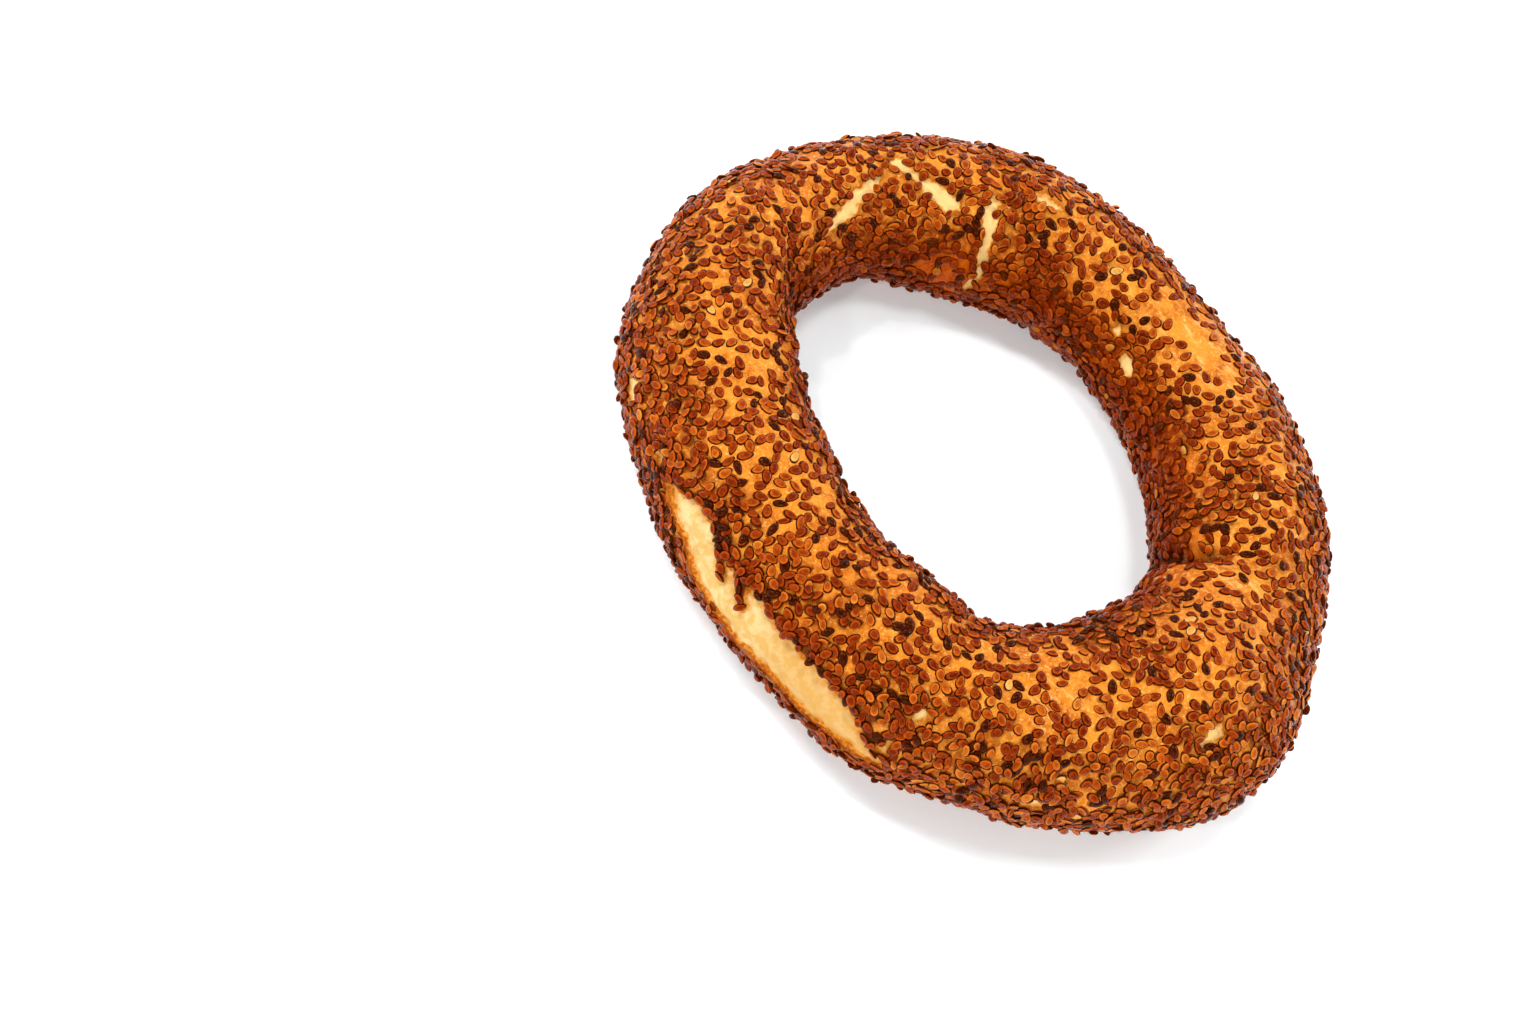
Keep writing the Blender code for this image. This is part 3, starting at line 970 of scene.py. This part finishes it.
def seed_material(name, core, edge, tip):
    """Toasted seed coat in syrup: glossy, lighter towards its edge with a painted rim highlight, in a dark
    rim of molasses and painted contact shadow.
    """
    material, tree, shader = new_material(name)
    place = node(tree, "ShaderNodeTexCoord").outputs["Object"]
    tone, end, down_side, painted_shade_at = stored_values(tree, "tone", "end_to_end", "rim", "painted_shade")
    mottle = pattern(tree, place, MOTTLE)
    toned = covered(tree, core, edge, tone, share=TONE_SHARE)
    spotted = covered(tree, toned, tip, mottle, share=MOTTLE_SHARE)
    # Painted highlight: the lighter edge band stands partly for light caught at the seed's rim.
    edged = covered(tree, spotted, edge, down_side, *EDGE_BAND, EDGE_SHARE)
    pointed = covered(tree, edged, tip, end, POINT_START, 1.0, POINT_SHARE)
    # Painted contact shadow, partly real dried molasses: the dark line and foot round each seed.
    lined = covered(tree, pointed, DARK_LINE_AND_SHADOW, down_side, *LINE_BAND)
    footed = covered(tree, lined, DARK_FOOT_AND_SHADOW, down_side, *FOOT_BAND)
    stuck = covered(tree, footed, glazed_tint(tree, place), down_side, *GLAZE_BAND)
    # Painted shade and bounce light on seeds inside the ring and low on its left.
    coated_and_shaded = covered(tree, stuck, SYRUP_AND_SHADE, painted_shade_at, share=SYRUP_SHARE)
    deepened = node(tree, "ShaderNodeMix", {0: painted_shade_at, 6: coated_and_shaded, 7: DEEP_SEEDS}, data_type="RGBA",
                    blend_type="MULTIPLY").outputs[2]
    tree.links.new(deepened, shader.inputs["Base Color"])
    gloss = node(tree, "ShaderNodeMapRange", {"Value": mottle, "To Min": SEED_SMOOTHEST,
                                              "To Max": SEED_ROUGHEST}, interpolation_type="SMOOTHSTEP")
    tree.links.new(gloss.outputs["Result"], shader.inputs["Roughness"])
    shader.inputs["Specular IOR Level"].default_value = SEED_SPECULAR
    shader.inputs["Specular Tint"].default_value = SEED_SHINE
    relief = fine_relief(tree, place, (WRINKLES,), WRINKLE_STRENGTH, WRINKLE_DEPTH)
    tree.links.new(relief, shader.inputs["Normal"])
    return material


# Name, share on the crown and on the sides, then the colours of core, edge, which also stands for painted
# rim highlight, and point.
KINDS = (
    ("seeds_dark", 0.13, 0.11, "#260501", "#4C1303", "#160301"),
    ("seeds_chestnut", 0.33, 0.21, "#621502", "#983607", "#4A0D01"),
    ("seeds_mahogany", 0.28, 0.22, "#701D03", "#A8440D", "#571301"),
    ("seeds_russet", 0.19, 0.24, "#812A04", "#BB5713", "#651A02"),
    ("seeds_amber", 0.07, 0.2, "#933909", "#CE6B1D", "#742703"),
    ("seeds_golden", 0.015, 0.065, "#A55013", "#D9802C", "#8F3E07"),
    ("seeds_peeled", 0.008, 0.012, "#CE9340", "#E2AC61", "#B47128"),
)
shares = np.array([kind[1:3] for kind in KINDS])
limits = np.cumsum(shares, axis=0) / shares.sum(axis=0)
# Darker kinds are drawn where seeds are burnt and where shade is painted.
draw = rng.uniform(0, 1, count) * (1 - burnt_and_shaded)
kind_of = np.zeros(count, dtype=int)
for on_crown, on_side in limits[:-1]:
    kind_of += draw > on_crown + (on_side - on_crown) * crowd
for number, (name, on_crown, on_side, *tints) in enumerate(KINDS):
    seeds = join_seeds(name, np.flatnonzero(kind_of == number))
    seeds.data.materials.append(seed_material("toasted_" + name, *map(colour, tints)))
    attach(seeds, "root")

# ---------------------------------------------------------------------------------------------
# Studio: a white acrylic table, lit a little from below, in a white room that is brighter near
# the horizon, with four soft boxes round the ring and three small lamps for the seeds' gloss.

TABLE_SIZE = 4
TABLE_WHITE = colour("#F2F8FA")
TABLE_ROUGHNESS = 0.9
TABLE_GLOW = 0.13
WHITE = (1, 1, 1, 1)

# How bright the room is, and from which heights of view it is so: low down and overhead.
ROOM_LOW = 0.1
ROOM_HIGH = 0.8
ROOM_LOW_LIGHT = 1.45
ROOM_HIGH_LIGHT = 0.32

# Name, size in m, power in W, and place in m.
LAMPS = (
    ("softbox_left", 0.30, 5.5, (-0.78, 0.35, 0.75)),
    ("softbox_right", 0.4, 4.8, (0.90, 0.20, 0.62)),
    ("softbox_front", 0.4, 4.5, (-0.10, -1.00, 0.55)),
    ("softbox_over", 0.28, 3.4, (0.0, 0.10, 1.15)),
    ("lamp_left", 0.08, 2.4, (-0.62, 0.30, 1.00)),
    ("lamp_back", 0.07, 2.4, (0.20, 0.95, 0.80)),
    ("lamp_front", 0.07, 1.8, (-0.70, -0.55, 0.80)),
)

bpy.ops.object.select_all(action="DESELECT")
bpy.ops.mesh.primitive_plane_add(size=TABLE_SIZE, location=(0, 0, 0))
table = bpy.context.object
table.name = "white_table"
material, tree, shader = new_material("white_table")
shader.inputs["Base Color"].default_value = TABLE_WHITE
shader.inputs["Roughness"].default_value = TABLE_ROUGHNESS
shader.inputs["Specular IOR Level"].default_value = 0.0
shader.inputs["Emission Color"].default_value = WHITE
shader.inputs["Emission Strength"].default_value = TABLE_GLOW
table.data.materials.append(material)

world = bpy.data.worlds.new("white_room")
world.use_nodes = True
room = world.node_tree
height = node(room, "ShaderNodeVectorMath", {0: node(room, "ShaderNodeTexCoord").outputs["Generated"],
                                             1: (0, 0, 1)}, operation="DOT_PRODUCT")
light = node(room, "ShaderNodeMapRange", {"Value": height.outputs["Value"], "From Min": ROOM_LOW,
                                          "From Max": ROOM_HIGH, "To Min": ROOM_LOW_LIGHT,
                                          "To Max": ROOM_HIGH_LIGHT}, interpolation_type="SMOOTHSTEP")
room.links.new(light.outputs["Result"], room.nodes["Background"].inputs["Strength"])
room.nodes["Background"].inputs["Color"].default_value = WHITE
bpy.context.scene.world = world

for name, size, power, location in LAMPS:
    lamp = bpy.data.lights.new(name, "AREA")
    lamp.shape = "DISK"
    lamp.size = size
    lamp.energy = power
    item = bpy.data.objects.new(name, lamp)
    item.location = location
    item.rotation_euler = Vector(location).to_track_quat("Z", "Y").to_euler()
    bpy.context.scene.collection.objects.link(item)

# ---------------------------------------------------------------------------------------------
# Camera: 85 mm lens, 0.79 m away, looking down from the front right and rolled a little. The
# ring stands right of the middle of its view, and a little above it.

TO_RIGHT = Vector((0.9511, 0.0, 0.3090))
UPWARD = Vector((-0.1498, 0.8746, 0.4611))
LENS = 85
SENSOR = 36
RING_MIDDLE_HEIGHT = 0.020
RING_RIGHT = 0.0443
RING_ABOVE = 0.0065
DISTANCE = 0.787

backward = TO_RIGHT.cross(UPWARD).normalized()
upward = backward.cross(TO_RIGHT).normalized()
ring_middle = Vector(centring * MM) + Vector((0, 0, RING_MIDDLE_HEIGHT))
spot = ring_middle - TO_RIGHT * RING_RIGHT - upward * RING_ABOVE + backward * DISTANCE
lens = bpy.data.cameras.new("camera")
lens.lens = LENS
lens.sensor_width = SENSOR
camera = bpy.data.objects.new("camera", lens)
camera.matrix_world = Matrix((
    (TO_RIGHT.x, upward.x, backward.x, spot.x),
    (TO_RIGHT.y, upward.y, backward.y, spot.y),
    (TO_RIGHT.z, upward.z, backward.z, spot.z),
    (0, 0, 0, 1)))
bpy.context.scene.collection.objects.link(camera)
bpy.context.scene.camera = camera
bpy.context.scene.view_settings.view_transform = "Standard"
